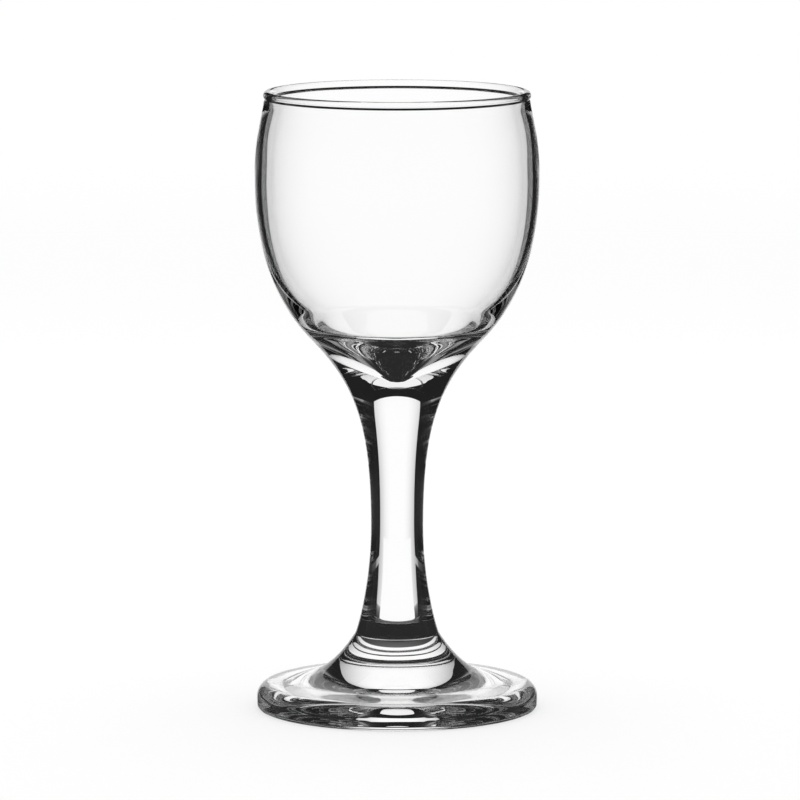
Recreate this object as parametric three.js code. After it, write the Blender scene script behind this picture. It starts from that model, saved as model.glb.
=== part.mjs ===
// Stemmed vodka glass of clear soda-lime glass, about 63 ml to the brim.
// Millimetres, +Z up. The origin is in the middle of the face that the glass stands on.
// It is made as stemware is: a blown bowl, a pressed solid stem and a pressed foot, fused while hot.
// Each piece is a body of revolution, so each has one outline, which starts and ends on the axis.

import * as THREE from 'three';

// Heights of the three pieces, stacked from the table up
const footHeight = 13;
const stemLength = 40;
const bowlHeight = 55;

// Radii of the two fused joints, which are flat discs
const footJointRadius = 7.5;
const bowlJointRadius = 7.2;

// Rim: a bead that the flame rounds off, and the slight draw-in under it
const rimRadius = 23.2;
const rimBeadRadius = 0.8;
const neckRadius = 23.1;
const neckBelowRim = 1.9;

// Bowl, outside: the widest place and the place low on the flank where the curve turns over
const bellyRadius = 24.7;
const bellyBelowRim = 15.2;
const flankRadius = 15.1;
const flankAboveJoint = 12;

// Bowl, inside: the wall is thin at the rim and grows thick towards the floor, a ring round the pit
const neckWall = 0.9;
const bellyWall = 1;
const innerFlankRadius = 17.7;
const innerFlankAboveJoint = 18.1;
const floorRadius = 9.2;
const floorAboveJoint = 12.3;

// Pit in the middle of the bowl's floor: a wide cone with a rounded tip
const pitDepth = 5.8;
const pitTipRadius = 1.6;

// Stem: its slimmest place
const waistRadius = 4.56;
const waistAboveFoot = 18.8;

// Foot: a disc with a rounded edge that stands on a flat ring round a hollowed underside
const footRadius = 24.5;
const footUpperEdgeRadius = 1.8;
const footLowerEdgeRadius = 1.6;
const footEdgeBand = 0.9;
const footRingWidth = 4;
const footHollowDepth = 0.6;

// Leans of the outlines in degrees from upright, outwards on the way up
const neckLean = -3;
const flankLean = 44;
const bowlJointLean = 20;
const innerFlankLean = 37;
const floorLean = 74;
const pitLean = 54;
const footJointLean = -28;
const footTopLean = -75;
const hollowRimLean = -80;
const hollowMiddleLean = -90;

// Directions in degrees for the round stretches, counted from level outwards
const downwards = -90;
const inwards = 180;
const beadAngle = 50;

// Pulls of each curve at its lower and upper end, as shares of the straight distance that it spans
const jointToFlankShares = [0.3, 0.43];
const flankToBellyShares = [0.26, 0.46];
const bellyToNeckShares = [0.56, 0.12];
const pitToFloorShares = [0.5, 0.12];
const floorToInnerFlankShares = [0.64, 0.68];
const innerFlankToBellyShares = [0.12, 0.61];
const innerBellyToNeckShares = [0.66, 0.27];
const stemUpperShares = [0.44, 0.26];
const stemLowerShares = [0.25, 0.5];
const footTopShares = [0.48, 0.3];
const hollowShares = [0.4, 0.35];

// Fineness of the facets: faces round the axis, and steps along each kind of curve
const turnSteps = 60;
const beadSteps = 8;
const edgeSteps = 4;
const tipSteps = 4;
const shortCurveSteps = 4;
const curveSteps = 8;

// Places that follow from the sizes above
const bowlJointHeight = footHeight + stemLength;
const glassHeight = bowlJointHeight + bowlHeight;
const footEdgeHeight = footLowerEdgeRadius + footEdgeBand;
const pitTipHeight = bowlJointHeight + floorAboveJoint - pitDepth + pitTipRadius;

function radians(degrees) {
  return THREE.MathUtils.degToRad(degrees);
}

// The unit step along an outline that leans by the given degrees and runs upwards
function alongLean(lean) {
  return new THREE.Vector2(Math.sin(radians(lean)), Math.cos(radians(lean)));
}

// A place on an outline: a radius, a height and the lean of the outline there
function station(radius, height, lean) {
  return { point: new THREE.Vector2(radius, height), lean };
}

// A smooth stretch of outline from a lower station up to a higher one, without its first point
function rise(lower, upper, shares, steps) {
  const span = lower.point.distanceTo(upper.point);
  const [lowerShare, upperShare] = shares;
  const leaving = lower.point.clone().addScaledVector(alongLean(lower.lean), lowerShare * span);
  const arriving = upper.point.clone().addScaledVector(alongLean(upper.lean), -upperShare * span);
  const curve = new THREE.CubicBezierCurve(lower.point, leaving, arriving, upper.point);
  return curve.getPoints(steps).slice(1);
}

// A round stretch of outline about a centre, from one angle to another, counted from level outwards
function roundStretch(centreRadius, centreHeight, radius, startAngle, endAngle, steps) {
  const points = [];
  for (let step = 0; step <= steps; step += 1) {
    const angle = radians(THREE.MathUtils.lerp(startAngle, endAngle, step / steps));
    const across = centreRadius + radius * Math.cos(angle);
    points.push(new THREE.Vector2(across, centreHeight + radius * Math.sin(angle)));
  }
  return points;
}

// The outline turned about the upright axis, standing on Z
function turned(outline) {
  const geometry = new THREE.LatheGeometry(outline, turnSteps);
  geometry.rotateX(Math.PI / 2);
  return geometry;
}

// Outside of the bowl, from the edge of the joint up to the draw-in under the bead
function bowlOutside() {
  const joint = station(bowlJointRadius, bowlJointHeight, bowlJointLean);
  const flank = station(flankRadius, bowlJointHeight + flankAboveJoint, flankLean);
  const belly = station(bellyRadius, glassHeight - bellyBelowRim, 0);
  const neck = station(neckRadius, glassHeight - neckBelowRim, neckLean);
  return [
    joint.point,
    ...rise(joint, flank, jointToFlankShares, curveSteps),
    ...rise(flank, belly, flankToBellyShares, curveSteps),
    ...rise(belly, neck, bellyToNeckShares, curveSteps),
  ];
}

// Bead of the rim, from its outer foot over the top to its inner foot
function rimBead() {
  const centreRadius = rimRadius - rimBeadRadius;
  const centreHeight = glassHeight - rimBeadRadius;
  const innerFoot = inwards + beadAngle;
  return roundStretch(centreRadius, centreHeight, rimBeadRadius, -beadAngle, innerFoot, beadSteps);
}

// Inside of the bowl, from the tip of the pit up to the wall behind the draw-in
function bowlInside() {
  const tip = roundStretch(0, pitTipHeight, pitTipRadius, downwards, -pitLean, tipSteps);
  const tipEnd = tip.at(-1);
  const pitSide = station(tipEnd.x, tipEnd.y, pitLean);
  const floor = station(floorRadius, bowlJointHeight + floorAboveJoint, floorLean);
  const flank = station(innerFlankRadius, bowlJointHeight + innerFlankAboveJoint, innerFlankLean);
  const belly = station(bellyRadius - bellyWall, glassHeight - bellyBelowRim, 0);
  const neck = station(neckRadius - neckWall, glassHeight - neckBelowRim, neckLean);
  return [
    new THREE.Vector2(0, pitTipHeight - pitTipRadius),
    ...tip.slice(1),
    ...rise(pitSide, floor, pitToFloorShares, shortCurveSteps),
    ...rise(floor, flank, floorToInnerFlankShares, curveSteps),
    ...rise(flank, belly, innerFlankToBellyShares, curveSteps),
    ...rise(belly, neck, innerBellyToNeckShares, shortCurveSteps),
  ];
}

function bowlGeometry() {
  const bottom = new THREE.Vector2(0, bowlJointHeight);
  return turned([bottom, ...bowlOutside(), ...rimBead(), ...bowlInside().reverse()]);
}

function stemGeometry() {
  const lower = station(footJointRadius, footHeight, footJointLean);
  const waist = station(waistRadius, footHeight + waistAboveFoot, 0);
  const upper = station(bowlJointRadius, bowlJointHeight, bowlJointLean);
  return turned([
    new THREE.Vector2(0, footHeight),
    lower.point,
    ...rise(lower, waist, stemLowerShares, curveSteps),
    ...rise(waist, upper, stemUpperShares, curveSteps),
    new THREE.Vector2(0, bowlJointHeight),
  ]);
}

// Underside of the foot, from the axis out to the resting ring and across it
function footUnderside() {
  const ringOuterRadius = footRadius - footLowerEdgeRadius;
  const ringInner = station(ringOuterRadius - footRingWidth, 0, hollowRimLean);
  const middle = station(0, footHollowDepth, hollowMiddleLean);
  return rise(ringInner, middle, hollowShares, shortCurveSteps).reverse().concat(ringInner.point);
}

// Rounded edge of the foot, from the resting ring round to its upper side
function footEdge() {
  const lowerCentre = footRadius - footLowerEdgeRadius;
  const upperCentre = footRadius - footUpperEdgeRadius;
  return [
    ...roundStretch(lowerCentre, footLowerEdgeRadius, footLowerEdgeRadius, downwards, 0, edgeSteps),
    ...roundStretch(upperCentre, footEdgeHeight, footUpperEdgeRadius, 0, -footTopLean, edgeSteps),
  ];
}

function footGeometry() {
  const edge = footEdge();
  const shoulder = station(edge.at(-1).x, edge.at(-1).y, footTopLean);
  const joint = station(footJointRadius, footHeight, footJointLean);
  return turned([
    ...footUnderside(),
    ...edge,
    ...rise(shoulder, joint, footTopShares, curveSteps),
    new THREE.Vector2(0, footHeight),
  ]);
}

// Clear colourless glass, polished by the flame
function glassMaterial() {
  return new THREE.MeshStandardMaterial({
    color: 0xf2f5f4,
    roughness: 0.02,
    metalness: 0,
    transparent: true,
    opacity: 0.35,
  });
}

function piece(name, geometry) {
  const mesh = new THREE.Mesh(geometry, glassMaterial());
  mesh.name = name;
  return mesh;
}

const vodkaGlass = new THREE.Group();
vodkaGlass.add(piece('foot', footGeometry()));
vodkaGlass.add(piece('stem', stemGeometry()));
vodkaGlass.add(piece('bowl', bowlGeometry()));

export default vodkaGlass;
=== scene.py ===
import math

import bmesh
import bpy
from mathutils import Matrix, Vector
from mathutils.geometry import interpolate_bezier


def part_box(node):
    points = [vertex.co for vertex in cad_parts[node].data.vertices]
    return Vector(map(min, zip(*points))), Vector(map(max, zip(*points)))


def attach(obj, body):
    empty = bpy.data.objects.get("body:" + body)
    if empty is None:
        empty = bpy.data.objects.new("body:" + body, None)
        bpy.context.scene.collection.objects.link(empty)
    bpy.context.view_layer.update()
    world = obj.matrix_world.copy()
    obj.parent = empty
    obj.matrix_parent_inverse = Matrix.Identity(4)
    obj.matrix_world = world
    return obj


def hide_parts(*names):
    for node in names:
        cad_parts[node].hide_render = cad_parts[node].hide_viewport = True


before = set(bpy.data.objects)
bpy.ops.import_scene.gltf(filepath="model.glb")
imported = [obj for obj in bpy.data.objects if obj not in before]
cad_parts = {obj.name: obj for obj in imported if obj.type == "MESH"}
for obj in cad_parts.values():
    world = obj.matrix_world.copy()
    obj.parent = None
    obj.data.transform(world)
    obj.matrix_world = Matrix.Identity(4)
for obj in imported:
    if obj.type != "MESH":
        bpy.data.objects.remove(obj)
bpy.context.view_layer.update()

# Looks of a small stemmed vodka glass. Metres, +Z up, standing on the origin.
# Each of its three pieces is a body of revolution: an outline that starts and ends on the axis,
# turned by a geometry tree. The pieces are fused, so their shared discs can't be seen.
# A studio set for glass stands round it and turns to face the camera.

# Sizes that the frame gives
FOOT_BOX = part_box("foot")
BOWL_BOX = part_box("bowl")
FOOT_HEIGHT = FOOT_BOX[1].z
BOWL_JOINT_HEIGHT = BOWL_BOX[0].z
GLASS_HEIGHT = BOWL_BOX[1].z
FOOT_RADIUS = FOOT_BOX[1].x
BELLY_RADIUS = BOWL_BOX[1].x

# Radii of the two fused joints
FOOT_JOINT_RADIUS = 0.0074
BOWL_JOINT_RADIUS = 0.0072

# Rim bead and the slight draw-in under it
RIM_RADIUS = 0.0232
RIM_BEAD_RADIUS = 0.0008
RIM_BEAD_ANGLE = 50
NECK_RADIUS = 0.0231
NECK_BELOW_RIM = 0.0019

# Bowl, outside
BELLY_BELOW_RIM = 0.0152
FLANK_RADIUS = 0.0151
FLANK_ABOVE_JOINT = 0.012

# Bowl, inside
NECK_WALL = 0.001
BELLY_WALL = 0.0012
INNER_FLANK_RADIUS = 0.0177
INNER_FLANK_ABOVE_JOINT = 0.0181
FLOOR_RADIUS = 0.0092
FLOOR_ABOVE_JOINT = 0.0123
PIT_DEPTH = 0.0058
PIT_TIP_RADIUS = 0.0016

# Stem
WAIST_RADIUS = 0.00456
WAIST_ABOVE_FOOT = 0.0188

# Foot
FOOT_UPPER_EDGE_RADIUS = 0.0026
FOOT_LOWER_EDGE_RADIUS = 0.0009
FOOT_EDGE_BAND = 0.0011
FOOT_RING_WIDTH = 0.0034
FOOT_HOLLOW_DEPTH = 0.0012

# Leans of the outlines in degrees from upright, outwards on the way up
NECK_LEAN = -3
FLANK_LEAN = 44
BOWL_JOINT_LEAN = 20
INNER_FLANK_LEAN = 37
FLOOR_LEAN = 66
PIT_LEAN = 54
FOOT_JOINT_LEAN = -33
FOOT_TOP_LEAN = -77
HOLLOW_RIM_LEAN = -74
HOLLOW_MIDDLE_LEAN = -90

# Directions in degrees for the round stretches, counted from level outwards
DOWNWARDS = -90
INWARDS = 180

# Pulls of each curve at its lower and upper end, as shares of the straight distance that it spans
JOINT_TO_FLANK_SHARES = (0.3, 0.43)
FLANK_TO_BELLY_SHARES = (0.26, 0.46)
BELLY_TO_NECK_SHARES = (0.56, 0.12)
PIT_TO_FLOOR_SHARES = (0.5, 0.12)
FLOOR_TO_INNER_FLANK_SHARES = (0.64, 0.68)
INNER_FLANK_TO_BELLY_SHARES = (0.12, 0.61)
INNER_BELLY_TO_NECK_SHARES = (0.66, 0.27)
STEM_UPPER_SHARES = (0.44, 0.26)
STEM_LOWER_SHARES = (0.05, 0.5)
FOOT_TOP_SHARES = (0.29, 0.61)
HOLLOW_SHARES = (0.45, 0.4)

# Fineness of the finished pieces
TURN_STEPS = 240
CURVE_STEPS = 28
ROUND_STEPS = 14
SEAM_GAP = 1e-6
CREASE_ANGLE = math.radians(30)

# Marks on the outline's edges and on the faces that they make, where two pieces are fused
FUSED_EDGE = "fused"
FUSED_FACE = "fused_face"

# Clear soda-lime glass. Its gloss is held low, as under a set that lights it from behind
GLASS_CLEARNESS = 0.995
GLASS_TRANSMISSION = 1
GLASS_INDEX = 1.51
GLASS_GLOSS = 0.1
GLASS_SHADOW = 0.85

# Cords that the melt leaves: long and flat in the blown bowl, closer in the pressed stem and foot
BLOWN_CORD_SCALE = 90
BLOWN_CORD_HEIGHT = 0.00002
PRESSED_CORD_SCALE = 160
PRESSED_CORD_HEIGHT = 0.00003
CORD_DETAIL = 1
CORD_ROUGHNESS = 0.4
CORD_STRENGTH = 1

# Patches where the flame polished the glass a little less
HAZE_SCALE = 60
HAZE_DETAIL = 3
HAZE_ROUGHNESS = 0.6
HAZE_LIMITS = (0.45, 0.75)
DULL_POLISH = 0.02

# Camera: it stands in front and looks slightly down
CAMERA_DISTANCE = 1.1827
CAMERA_HEIGHT = 0.2116
CAMERA_SIDE = 0.0005
CAMERA_DOWN = math.radians(7.586)
FOCAL_PIXELS = 6866.9
FRAME_PIXELS = 800

# Plain white surroundings, the soft light that falls on the floor, and the pale floor
WHITE = (1, 1, 1, 1)
WHITE_LEVEL = 1
FLOOR_LIGHT_LEVEL = 0.8
FLOOR_SIDE = 2.4
FLOOR_LEVEL = 0.98
FLOOR_FADE = (0.3, 1.0)

# Wide soft lamp overhead
LAMP_SIDE = 0.8
LAMP_POWER = 3
LAMP_PLACE = (0, 0.2, 1)

# The room round the set is dark, and less so low down
ROOM_RADIUS = 0.9
ROOM_STEPS = 48
ROOM_LEVEL = 0.014
ROOM_LOW_LEVEL = 0.3
ROOM_LOW_FADE = (0.05, 0.35)

# Bright backdrop close behind the glass, which fades sideways
BACKDROP_DISTANCE = 0.153
BACKDROP_HALF_WIDTH = 0.12
BACKDROP_HEIGHT = 0.132
BACKDROP_EDGE_LEVEL = 0.1
BACKDROP_FADE = (math.radians(8), math.radians(50))

# Round soft box overhead
SOFT_BOX_RADIUS = 0.31
SOFT_BOX_PLACE = (0, 0.22, 0.6)
SOFT_BOX_STEPS = 48
SOFT_BOX_LEVEL = 0.9

# Black cards that stand at both sides behind the glass: corners in plan, heights and level
CARD_INNER_FOOT = (0.0481, 0.0844)
CARD_INNER_TOP = (0.0433, 0.1204)
CARD_OUTER = (0.0581, 0.01)
CARD_BOTTOM = 0.002
CARD_TOP = 0.15
CARD_LEVEL = 0.015

# The table as the glass sees it: bright between the cards, with a dark sheet at the sides and in front. The
# dark sheet stands partly for the black cards' feet and partly for painted shade on the table.
TABLE_DEPTH = 0.0003
TABLE_LEVEL = 1
TABLE_GLOSS_INDEX = 1.1
TABLE_GLOSS_ROUGHNESS = 0.08
DARK_SHEET_DEPTH = 0.0002
DARK_SHEET_TIP = 0.03
DARK_SHEET_HALF_WIDTH = 0.009
DARK_SHEET_OPENING = math.radians(23)
CARD_FEET_AND_SHADE_LEVEL = 0.022

# How often light may bend or bounce on its way through thick glass
LIGHT_BOUNCES = 32

scene = bpy.context.scene


def along_lean(lean):
    """The unit step along an outline that leans by so many degrees and runs upwards."""
    return Vector((math.sin(math.radians(lean)), math.cos(math.radians(lean))))


def station(radius, height, lean):
    """A place on an outline: a radius, a height and the lean of the outline there."""
    return Vector((radius, height)), lean


def rise(lower, upper, shares):
    """A smooth stretch of outline from a lower station up to a higher one, without its first point."""
    (start, start_lean), (end, end_lean) = lower, upper
    span = (end - start).length
    leaving = start + along_lean(start_lean) * shares[0] * span
    arriving = end - along_lean(end_lean) * shares[1] * span
    return interpolate_bezier(start, leaving, arriving, end, CURVE_STEPS + 1)[1:]


def round_stretch(centre, radius, start_angle, end_angle):
    """A round stretch of outline about a centre, with angles in degrees counted from level outwards."""
    points = []
    for step in range(ROUND_STEPS + 1):
        angle = math.radians(start_angle + (end_angle - start_angle) * step / ROUND_STEPS)
        points.append(centre + Vector((math.cos(angle), math.sin(angle))) * radius)
    return points


def on_axis(height):
    return Vector((0, height))


def foot_joint():
    return station(FOOT_JOINT_RADIUS, FOOT_HEIGHT, FOOT_JOINT_LEAN)


def bowl_joint():
    return station(BOWL_JOINT_RADIUS, BOWL_JOINT_HEIGHT, BOWL_JOINT_LEAN)


def bowl_outside():
    """From the joint with the stem up to the draw-in under the bead."""
    flank = station(FLANK_RADIUS, BOWL_JOINT_HEIGHT + FLANK_ABOVE_JOINT, FLANK_LEAN)
    belly = station(BELLY_RADIUS, GLASS_HEIGHT - BELLY_BELOW_RIM, 0)
    neck = station(NECK_RADIUS, GLASS_HEIGHT - NECK_BELOW_RIM, NECK_LEAN)
    points = [bowl_joint()[0]]
    points += rise(bowl_joint(), flank, JOINT_TO_FLANK_SHARES)
    points += rise(flank, belly, FLANK_TO_BELLY_SHARES)
    points += rise(belly, neck, BELLY_TO_NECK_SHARES)
    return points


def rim_bead():
    """From the bead's outer foot over the top to its inner foot."""
    centre = Vector((RIM_RADIUS - RIM_BEAD_RADIUS, GLASS_HEIGHT - RIM_BEAD_RADIUS))
    return round_stretch(centre, RIM_BEAD_RADIUS, -RIM_BEAD_ANGLE, INWARDS + RIM_BEAD_ANGLE)


def bowl_inside():
    """From the tip of the pit, exactly on the axis, up to the wall behind the draw-in."""
    tip_centre = on_axis(BOWL_JOINT_HEIGHT + FLOOR_ABOVE_JOINT - PIT_DEPTH + PIT_TIP_RADIUS)
    tip = round_stretch(tip_centre, PIT_TIP_RADIUS, DOWNWARDS, -PIT_LEAN)
    tip[0].x = 0
    pit_side = tip[-1], PIT_LEAN
    floor = station(FLOOR_RADIUS, BOWL_JOINT_HEIGHT + FLOOR_ABOVE_JOINT, FLOOR_LEAN)
    flank = station(INNER_FLANK_RADIUS, BOWL_JOINT_HEIGHT + INNER_FLANK_ABOVE_JOINT, INNER_FLANK_LEAN)
    belly = station(BELLY_RADIUS - BELLY_WALL, GLASS_HEIGHT - BELLY_BELOW_RIM, 0)
    neck = station(NECK_RADIUS - NECK_WALL, GLASS_HEIGHT - NECK_BELOW_RIM, NECK_LEAN)
    points = tip
    points += rise(pit_side, floor, PIT_TO_FLOOR_SHARES)
    points += rise(floor, flank, FLOOR_TO_INNER_FLANK_SHARES)
    points += rise(flank, belly, INNER_FLANK_TO_BELLY_SHARES)
    points += rise(belly, neck, INNER_BELLY_TO_NECK_SHARES)
    return points


def bowl_outline():
    inside = bowl_inside()
    inside.reverse()
    return [on_axis(BOWL_JOINT_HEIGHT), *bowl_outside(), *rim_bead(), *inside]


def stem_outline():
    waist = station(WAIST_RADIUS, FOOT_HEIGHT + WAIST_ABOVE_FOOT, 0)
    points = [on_axis(FOOT_HEIGHT), foot_joint()[0]]
    points += rise(foot_joint(), waist, STEM_LOWER_SHARES)
    points += rise(waist, bowl_joint(), STEM_UPPER_SHARES)
    return [*points, on_axis(BOWL_JOINT_HEIGHT)]


def foot_underside():
    """From the middle of the shallow hollow, exactly on the axis, out to the resting ring."""
    ring_radius = FOOT_RADIUS - FOOT_LOWER_EDGE_RADIUS - FOOT_RING_WIDTH
    ring = station(ring_radius, 0, HOLLOW_RIM_LEAN)
    middle = station(0, FOOT_HOLLOW_DEPTH, HOLLOW_MIDDLE_LEAN)
    points = rise(ring, middle, HOLLOW_SHARES)
    points.reverse()
    points[0].x = 0
    return [*points, ring[0]]


def foot_edge():
    """From the resting ring round the rounded edge to the foot's upper side."""
    lower = Vector((FOOT_RADIUS - FOOT_LOWER_EDGE_RADIUS, FOOT_LOWER_EDGE_RADIUS))
    upper = Vector((FOOT_RADIUS - FOOT_UPPER_EDGE_RADIUS, FOOT_LOWER_EDGE_RADIUS + FOOT_EDGE_BAND))
    below = round_stretch(lower, FOOT_LOWER_EDGE_RADIUS, DOWNWARDS, 0)
    above = round_stretch(upper, FOOT_UPPER_EDGE_RADIUS, 0, -FOOT_TOP_LEAN)
    return [*below, *above]


def foot_outline():
    edge = foot_edge()
    shoulder = edge[-1], FOOT_TOP_LEAN
    return [*foot_underside(), *edge, *rise(shoulder, foot_joint(), FOOT_TOP_SHARES), on_axis(FOOT_HEIGHT)]


def add(tree, kind, links=(), **settings):
    """A new node with its settings. Each link is an input's name and the output or value for it."""
    node = tree.nodes.new(kind)
    for name, value in settings.items():
        setattr(node, name, value)
    for name, source in dict(links).items():
        socket = node.inputs[name]
        if isinstance(source, bpy.types.NodeSocket):
            tree.links.new(source, socket)
        else:
            socket.default_value = source
    return node


def reckon(tree, operation, *values):
    """The result of one step of arithmetic in a node tree."""
    return add(tree, "ShaderNodeMath", dict(enumerate(values)), operation=operation).outputs[0]


def name_sockets(tree, inputs, outputs):
    """Gives a tree its named inputs and outputs, each with its kind."""
    for direction, sockets in (("INPUT", inputs), ("OUTPUT", outputs)):
        for name, kind in sockets.items():
            tree.interface.new_socket(name, in_out=direction, socket_type="NodeSocket" + kind)


def turned_shell(tree, given, count, index):
    """A grid whose every column is the outline at one turn round Z."""
    columns = reckon(tree, "ADD", given["Turn steps"], 1)
    grid = add(tree, "GeometryNodeMeshGrid", {"Vertices X": columns, "Vertices Y": count}).outputs["Mesh"]
    column = reckon(tree, "FLOOR", reckon(tree, "DIVIDE", index, count))
    row = reckon(tree, "MODULO", index, count)
    position = add(tree, "GeometryNodeInputPosition").outputs[0]
    point = add(tree, "GeometryNodeSampleIndex",
                {"Geometry": given["Outline"], "Value": position, "Index": row},
                data_type="FLOAT_VECTOR").outputs["Value"]
    angle = reckon(tree, "MULTIPLY", reckon(tree, "DIVIDE", column, given["Turn steps"]), math.tau)
    turned = add(tree, "ShaderNodeVectorRotate", {"Vector": point, "Angle": angle}, rotation_type="Z_AXIS")
    return add(tree, "GeometryNodeSetPosition", {"Geometry": grid, "Position": turned.outputs[0]}).outputs[0]


def fused_faces_marked(tree, shell, given, count, index):
    """The shell with a mark on each face that a fused edge of the outline makes."""
    span = reckon(tree, "MODULO", index, reckon(tree, "SUBTRACT", count, 1))
    fused_edge = add(tree, "GeometryNodeInputNamedAttribute", {"Name": FUSED_EDGE}, data_type="BOOLEAN")
    fused = add(tree, "GeometryNodeSampleIndex",
                {"Geometry": given["Outline"], "Value": fused_edge.outputs["Attribute"], "Index": span},
                data_type="BOOLEAN", domain="EDGE").outputs["Value"]
    return add(tree, "GeometryNodeStoreNamedAttribute",
               {"Geometry": shell, "Name": FUSED_FACE, "Value": fused},
               data_type="BOOLEAN", domain="FACE").outputs[0]


def closed_and_smoothed(tree, shell, given):
    """The shell with its seam and its poles closed, and smooth but for the creases."""
    shell = add(tree, "GeometryNodeMergeByDistance",
                {"Geometry": shell, "Distance": given["Seam gap"]}).outputs[0]
    shell = add(tree, "GeometryNodeSetShadeSmooth", {"Geometry": shell, "Shade Smooth": True}).outputs[0]
    bend = add(tree, "GeometryNodeInputMeshEdgeAngle").outputs["Unsigned Angle"]
    crease = add(tree, "FunctionNodeCompare", {0: bend, 1: given["Crease angle"]}, operation="GREATER_THAN")
    return add(tree, "GeometryNodeSetShadeSmooth",
               {"Geometry": shell, "Selection": crease.outputs[0], "Shade Smooth": False},
               domain="EDGE").outputs[0]


def turning_tree():
    """Geometry Nodes: turns the object's own outline round Z into a closed glass piece."""
    tree = bpy.data.node_groups.new("turned_glass", "GeometryNodeTree")
    name_sockets(tree,
                 {"Outline": "Geometry", "Turn steps": "Int", "Seam gap": "Float", "Crease angle": "Float",
                  "Glass": "Material", "Fused face": "Material"},
                 {"Piece": "Geometry"})
    given = add(tree, "NodeGroupInput").outputs
    size = add(tree, "GeometryNodeAttributeDomainSize", {"Geometry": given["Outline"]})
    count = size.outputs["Point Count"]
    index = add(tree, "GeometryNodeInputIndex").outputs[0]
    shell = turned_shell(tree, given, count, index)
    shell = fused_faces_marked(tree, shell, given, count, index)
    shell = closed_and_smoothed(tree, shell, given)
    shell = add(tree, "GeometryNodeRealizeInstances", {"Geometry": shell}).outputs[0]
    shell = add(tree, "GeometryNodeSetMaterial", {"Geometry": shell, "Material": given["Glass"]}).outputs[0]
    fused_face = add(tree, "GeometryNodeInputNamedAttribute", {"Name": FUSED_FACE}, data_type="BOOLEAN")
    shell = add(tree, "GeometryNodeSetMaterial",
                {"Geometry": shell, "Selection": fused_face.outputs["Attribute"],
                 "Material": given["Fused face"]}).outputs[0]
    add(tree, "NodeGroupOutput", {"Piece": shell})
    return tree


def set_inputs(modifier, values):
    """Gives a tree's named inputs their values, by the identifiers of their sockets."""
    for item in modifier.node_group.interface.items_tree:
        if item.name in values:
            modifier[item.identifier] = values[item.name]


def outline_object(name, outline, fused_spans):
    """The outline as a chain of edges in the XZ plane, with the fused spans marked."""
    mesh = bpy.data.meshes.new(name + "_outline")
    edges = [(step, step + 1) for step in range(len(outline) - 1)]
    mesh.from_pydata([(point.x, 0, point.y) for point in outline], edges, [])
    marks = mesh.attributes.new(FUSED_EDGE, "BOOLEAN", "EDGE")
    for span in fused_spans:
        marks.data[span % len(edges)].value = True
    drawn = bpy.data.objects.new(name + "_outline", mesh)
    scene.collection.objects.link(drawn)
    return drawn


def make_piece(name, node, outline, fused_spans, tree, materials):
    """Turns an outline into a plain mesh that stands for its CAD node."""
    drawn = outline_object(name, outline, fused_spans)
    turning = drawn.modifiers.new("turning", "NODES")
    turning.node_group = tree
    glass, fused_face = materials
    set_inputs(turning, {
        "Turn steps": TURN_STEPS,
        "Seam gap": SEAM_GAP,
        "Crease angle": CREASE_ANGLE,
        "Glass": glass,
        "Fused face": fused_face,
    })
    evaluated = drawn.evaluated_get(bpy.context.evaluated_depsgraph_get())
    mesh = bpy.data.meshes.new_from_object(evaluated)
    mesh.name = name
    bpy.data.objects.remove(drawn)
    piece = bpy.data.objects.new(name, mesh)
    scene.collection.objects.link(piece)
    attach(piece, "root")
    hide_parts(node)


def grey(level):
    return (level, level, level, 1)


def new_material(name):
    """An empty node material and its node tree."""
    material = bpy.data.materials.new(name)
    material.use_nodes = True
    material.node_tree.nodes.clear()
    return material, material.node_tree


def show(tree, shader):
    """Puts a shader on the surface."""
    add(tree, "ShaderNodeOutputMaterial", {"Surface": shader.outputs[0]})


def blend(tree, share, first, second):
    """One shader where the share is nothing and the other where it is one."""
    return add(tree, "ShaderNodeMixShader", {0: share, 1: first.outputs[0], 2: second.outputs[0]})


def melt_group():
    """Shader nodes: the faint cords and the uneven polish that pressed and blown glass keeps."""
    tree = bpy.data.node_groups.new("melt_cords", "ShaderNodeTree")
    name_sockets(tree,
                 {"Position": "Vector", "Cord scale": "Float", "Dull polish": "Float"},
                 {"Height": "Float", "Polish": "Float"})
    given = add(tree, "NodeGroupInput").outputs
    cords = add(tree, "ShaderNodeTexNoise",
                {"Vector": given["Position"], "Scale": given["Cord scale"],
                 "Detail": CORD_DETAIL, "Roughness": CORD_ROUGHNESS})
    haze = add(tree, "ShaderNodeTexNoise",
               {"Vector": given["Position"], "Scale": HAZE_SCALE,
                "Detail": HAZE_DETAIL, "Roughness": HAZE_ROUGHNESS})
    polish = add(tree, "ShaderNodeMapRange",
                 {"Value": haze.outputs["Fac"], "From Min": HAZE_LIMITS[0], "From Max": HAZE_LIMITS[1],
                  "To Max": given["Dull polish"]})
    add(tree, "NodeGroupOutput", {"Height": cords.outputs["Fac"], "Polish": polish.outputs["Result"]})
    return tree


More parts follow.
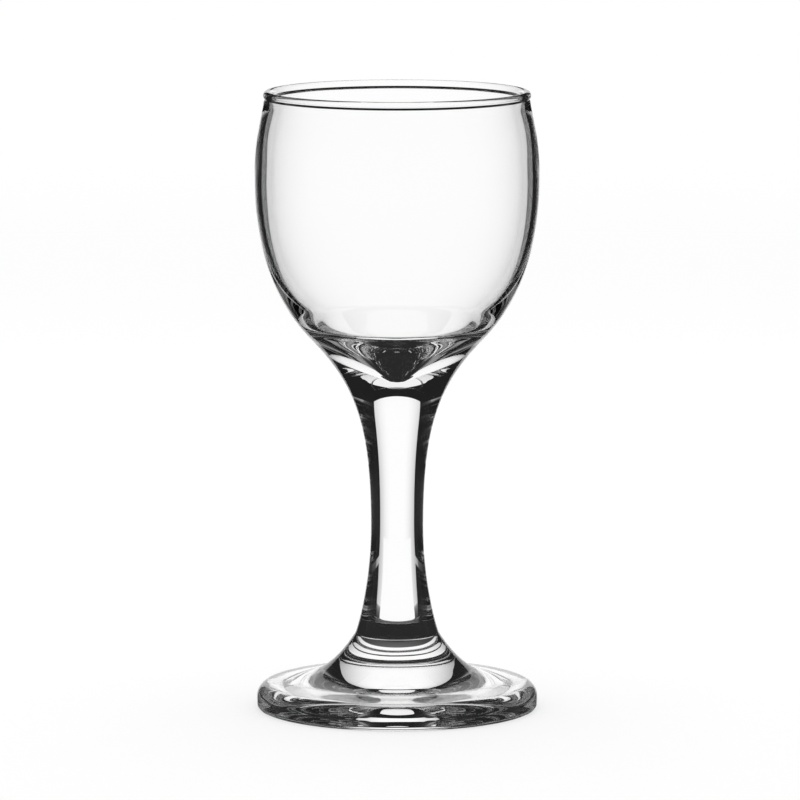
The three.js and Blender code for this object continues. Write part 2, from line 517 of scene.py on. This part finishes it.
def glass_material(name, melt, cord_scale, cord_height):
    """Clear soda-lime glass, polished by fire. Its shadow is only a light grey."""
    material, tree = new_material(name)
    place = add(tree, "ShaderNodeTexCoord").outputs["Object"]
    cords = add(tree, "ShaderNodeGroup",
                {"Position": place, "Cord scale": cord_scale, "Dull polish": DULL_POLISH}, node_tree=melt)
    bump = add(tree, "ShaderNodeBump",
               {"Height": cords.outputs["Height"], "Strength": CORD_STRENGTH, "Distance": cord_height})
    glass = add(tree, "ShaderNodeBsdfPrincipled",
                {"Base Color": grey(GLASS_CLEARNESS), "Roughness": cords.outputs["Polish"],
                 "IOR": GLASS_INDEX, "Specular Tint": grey(GLASS_GLOSS),
                 "Transmission Weight": GLASS_TRANSMISSION, "Normal": bump.outputs["Normal"]})
    passing = add(tree, "ShaderNodeBsdfTransparent", {"Color": grey(GLASS_SHADOW)})
    path = add(tree, "ShaderNodeLightPath").outputs
    soft = reckon(tree, "MAXIMUM", path["Is Shadow Ray"], path["Is Diffuse Ray"])
    show(tree, blend(tree, soft, glass, passing))
    return material


def fused_material():
    """The disc where two pieces melted into one: nothing of it can be seen."""
    material, tree = new_material("fused_joint")
    show(tree, add(tree, "ShaderNodeBsdfTransparent"))
    return material


def make_glass():
    """The three fused pieces, with the spans of each outline that lie in a joint."""
    tree = turning_tree()
    melt = melt_group()
    fused = fused_material()
    blown = glass_material("blown_glass", melt, BLOWN_CORD_SCALE, BLOWN_CORD_HEIGHT)
    pressed = glass_material("pressed_glass", melt, PRESSED_CORD_SCALE, PRESSED_CORD_HEIGHT)
    make_piece("bowl_glass", "bowl", bowl_outline(), [0], tree, (blown, fused))
    make_piece("stem_glass", "stem", stem_outline(), [0, -1], tree, (pressed, fused))
    make_piece("foot_glass", "foot", foot_outline(), [-1], tree, (pressed, fused))
    bpy.data.node_groups.remove(tree)


def make_camera():
    lens = bpy.data.cameras.new("camera")
    lens.lens = FOCAL_PIXELS * lens.sensor_width / FRAME_PIXELS
    camera = bpy.data.objects.new("camera", lens)
    camera.location = (CAMERA_SIDE, -CAMERA_DISTANCE, CAMERA_HEIGHT)
    camera.rotation_euler = (math.pi / 2 - CAMERA_DOWN, 0, 0)
    scene.collection.objects.link(camera)
    scene.camera = camera
    return camera


def make_world():
    """White where the camera, a reflection or the glass looks, and a plain soft light on the floor."""
    world = bpy.data.worlds.new("studio")
    scene.world = world
    world.use_nodes = True
    tree = world.node_tree
    tree.nodes.clear()
    path = add(tree, "ShaderNodeLightPath").outputs
    seen = reckon(tree, "MAXIMUM", path["Is Camera Ray"], path["Is Glossy Ray"])
    seen = reckon(tree, "MAXIMUM", seen, path["Is Transmission Ray"])
    light = add(tree, "ShaderNodeBackground", {"Color": WHITE, "Strength": FLOOR_LIGHT_LEVEL})
    white = add(tree, "ShaderNodeBackground", {"Color": WHITE, "Strength": WHITE_LEVEL})
    add(tree, "ShaderNodeOutputWorld", {"Surface": blend(tree, seen, light, white).outputs[0]})


def sheet_object(name, corners):
    """A flat sheet with its corners anywhere."""
    mesh = bpy.data.meshes.new(name)
    mesh.from_pydata(corners, [], [tuple(range(len(corners)))])
    sheet = bpy.data.objects.new(name, mesh)
    scene.collection.objects.link(sheet)
    return sheet


def level_sheet(name, corners, height):
    """A level sheet with its corners in plan."""
    return sheet_object(name, [(x, y, height) for x, y in corners])


def square(reach):
    """The corners in plan of a square about the axis that reaches so far to each side."""
    return [(-reach, -reach), (reach, -reach), (reach, reach), (-reach, reach)]


def floor_material():
    """A matt pale floor that fades into the white background, so that it has no horizon."""
    material, tree = new_material("pale_floor")
    place = add(tree, "ShaderNodeTexCoord").outputs["Object"]
    reach = add(tree, "ShaderNodeVectorMath", {0: place}, operation="LENGTH").outputs["Value"]
    fade = add(tree, "ShaderNodeMapRange",
               {"Value": reach, "From Min": FLOOR_FADE[0], "From Max": FLOOR_FADE[1]},
               interpolation_type="SMOOTHSTEP").outputs["Result"]
    matt = add(tree, "ShaderNodeBsdfDiffuse", {"Color": grey(FLOOR_LEVEL)})
    clear = add(tree, "ShaderNodeBsdfTransparent")
    show(tree, blend(tree, fade, matt, clear))
    return material


def make_floor():
    """The floor that the camera sees. The glass sees the bright table in its place."""
    floor = level_sheet("floor", square(FLOOR_SIDE / 2), 0)
    floor.data.materials.append(floor_material())
    floor.visible_transmission = False
    floor.visible_glossy = False


def make_stand(camera):
    """An upright stand for the set that turns to face the camera, as a turntable does the reverse."""
    stand = bpy.data.objects.new("set_stand", None)
    scene.collection.objects.link(stand)
    facing = stand.constraints.new("LOCKED_TRACK")
    facing.target = camera
    facing.track_axis = "TRACK_NEGATIVE_Y"
    facing.lock_axis = "LOCK_Z"
    return stand


def only_for_glass(prop, stand, material):
    """Hangs a part of the set on the stand. The camera and the floor don't see it."""
    prop.data.materials.append(material)
    prop.parent = stand
    prop.visible_camera = False
    prop.visible_diffuse = False
    prop.visible_shadow = False


def glow_material(name):
    """A new material that only glows, its tree and the socket for the glow's colour."""
    material, tree = new_material(name)
    glow = add(tree, "ShaderNodeEmission", {"Strength": WHITE_LEVEL})
    show(tree, glow)
    material.cycles.emission_sampling = "NONE"
    return material, tree, glow.inputs["Color"]


def plain_glow(name, level):
    material, _, colour = glow_material(name)
    colour.default_value = grey(level)
    return material


def faded_level(tree, value, limits, near_level, far_level):
    """Runs smoothly from the near level to the far one as a value passes between two limits."""
    return add(tree, "ShaderNodeMapRange",
               {"Value": value, "From Min": limits[0], "From Max": limits[1],
                "To Min": near_level, "To Max": far_level},
               interpolation_type="SMOOTHSTEP").outputs["Result"]


def room_material():
    """A dark room that is a little brighter near the floor."""
    material, tree, colour = glow_material("dark_room")
    place = add(tree, "ShaderNodeTexCoord").outputs["Object"]
    height = add(tree, "ShaderNodeSeparateXYZ", {0: place}).outputs["Z"]
    tree.links.new(faded_level(tree, height, ROOM_LOW_FADE, ROOM_LOW_LEVEL, ROOM_LEVEL), colour)
    return material


def make_room(stand):
    mesh = bpy.data.meshes.new("room")
    shell = bmesh.new()
    bmesh.ops.create_uvsphere(shell, u_segments=ROOM_STEPS, v_segments=ROOM_STEPS, radius=ROOM_RADIUS)
    shell.to_mesh(mesh)
    shell.free()
    room = bpy.data.objects.new("room", mesh)
    scene.collection.objects.link(room)
    only_for_glass(room, stand, room_material())


def backdrop_material():
    """Brightest straight behind the glass, by the direction from the glass."""
    material, tree, colour = glow_material("backdrop_glow")
    place = add(tree, "ShaderNodeTexCoord").outputs["Object"]
    parts = add(tree, "ShaderNodeSeparateXYZ", {0: place}).outputs
    azimuth = reckon(tree, "ARCTAN2", reckon(tree, "ABSOLUTE", parts["X"]), parts["Y"])
    tree.links.new(faded_level(tree, azimuth, BACKDROP_FADE, WHITE_LEVEL, BACKDROP_EDGE_LEVEL), colour)
    return material


def make_backdrop(stand):
    side, depth = BACKDROP_HALF_WIDTH, BACKDROP_DISTANCE
    low, high = -TABLE_DEPTH, BACKDROP_HEIGHT
    corners = [(-side, depth, low), (side, depth, low), (side, depth, high), (-side, depth, high)]
    only_for_glass(sheet_object("backdrop", corners), stand, backdrop_material())


def make_soft_box(stand):
    x, y, height = SOFT_BOX_PLACE
    corners = []
    for step in range(SOFT_BOX_STEPS):
        angle = math.tau * step / SOFT_BOX_STEPS
        corners.append((x + SOFT_BOX_RADIUS * math.cos(angle), y + SOFT_BOX_RADIUS * math.sin(angle)))
    soft_box = level_sheet("soft_box", corners, height)
    only_for_glass(soft_box, stand, plain_glow("soft_box_glow", SOFT_BOX_LEVEL))


def make_cards(stand):
    black = plain_glow("black_card", CARD_LEVEL)
    for name, side in (("card_right", 1), ("card_left", -1)):
        low = (side * CARD_INNER_FOOT[0], CARD_INNER_FOOT[1], CARD_BOTTOM)
        high = (side * CARD_INNER_TOP[0], CARD_INNER_TOP[1], CARD_TOP)
        outer = (side * CARD_OUTER[0], CARD_OUTER[1])
        card = sheet_object(name, [low, (*outer, CARD_BOTTOM), (*outer, CARD_TOP), high])
        only_for_glass(card, stand, black)


def glossy_glow(name, level):
    """A sheet that glows and whose gloss shows the backdrop and the cards."""
    material, tree = new_material(name)
    glow = add(tree, "ShaderNodeEmission", {"Color": grey(level), "Strength": WHITE_LEVEL})
    gloss = add(tree, "ShaderNodeBsdfGlossy", {"Color": WHITE, "Roughness": TABLE_GLOSS_ROUGHNESS})
    facing = add(tree, "ShaderNodeFresnel", {"IOR": TABLE_GLOSS_INDEX}).outputs[0]
    show(tree, blend(tree, facing, glow, gloss))
    material.cycles.emission_sampling = "NONE"
    return material


def make_table(stand):
    """The bright sheet, and over it the dark sheet whose cut-out widens from near the foot to the backdrop.
    The dark sheet is partly the black cards' feet and partly painted shade on the table.
    """
    side = ROOM_RADIUS
    table = level_sheet("table", square(side), -TABLE_DEPTH)
    only_for_glass(table, stand, glossy_glow("bright_table", TABLE_LEVEL))
    near = DARK_SHEET_HALF_WIDTH
    far = near + (side - DARK_SHEET_TIP) * math.tan(DARK_SHEET_OPENING)
    corners = [(-near, DARK_SHEET_TIP), (near, DARK_SHEET_TIP), (far, side), (side, side), (side, -side),
               (-side, -side), (-side, side), (-far, side)]
    only_for_glass(level_sheet("card_feet_and_shade", corners, -DARK_SHEET_DEPTH), stand, glossy_glow("card_feet_and_painted_shade", CARD_FEET_AND_SHADE_LEVEL))


def make_lamp(stand):
    """One wide soft lamp overhead, for the floor and the shadow."""
    lamp = bpy.data.lights.new("overhead", "AREA")
    lamp.shape = "SQUARE"
    lamp.size = LAMP_SIDE
    lamp.energy = LAMP_POWER
    overhead = bpy.data.objects.new("overhead", lamp)
    overhead.location = LAMP_PLACE
    scene.collection.objects.link(overhead)
    overhead.parent = stand
    overhead.visible_glossy = False
    overhead.visible_transmission = False
    overhead.visible_camera = False


def make_set(camera):
    stand = make_stand(camera)
    make_room(stand)
    make_backdrop(stand)
    make_soft_box(stand)
    make_cards(stand)
    make_table(stand)
    make_lamp(stand)


make_glass()
make_world()
make_floor()
make_set(make_camera())

scene.view_settings.view_transform = "Standard"
scene.cycles.max_bounces = LIGHT_BOUNCES
scene.cycles.transmission_bounces = LIGHT_BOUNCES
scene.cycles.glossy_bounces = LIGHT_BOUNCES
scene.cycles.transparent_max_bounces = LIGHT_BOUNCES
scene.cycles.caustics_reflective = False
scene.cycles.caustics_refractive = False
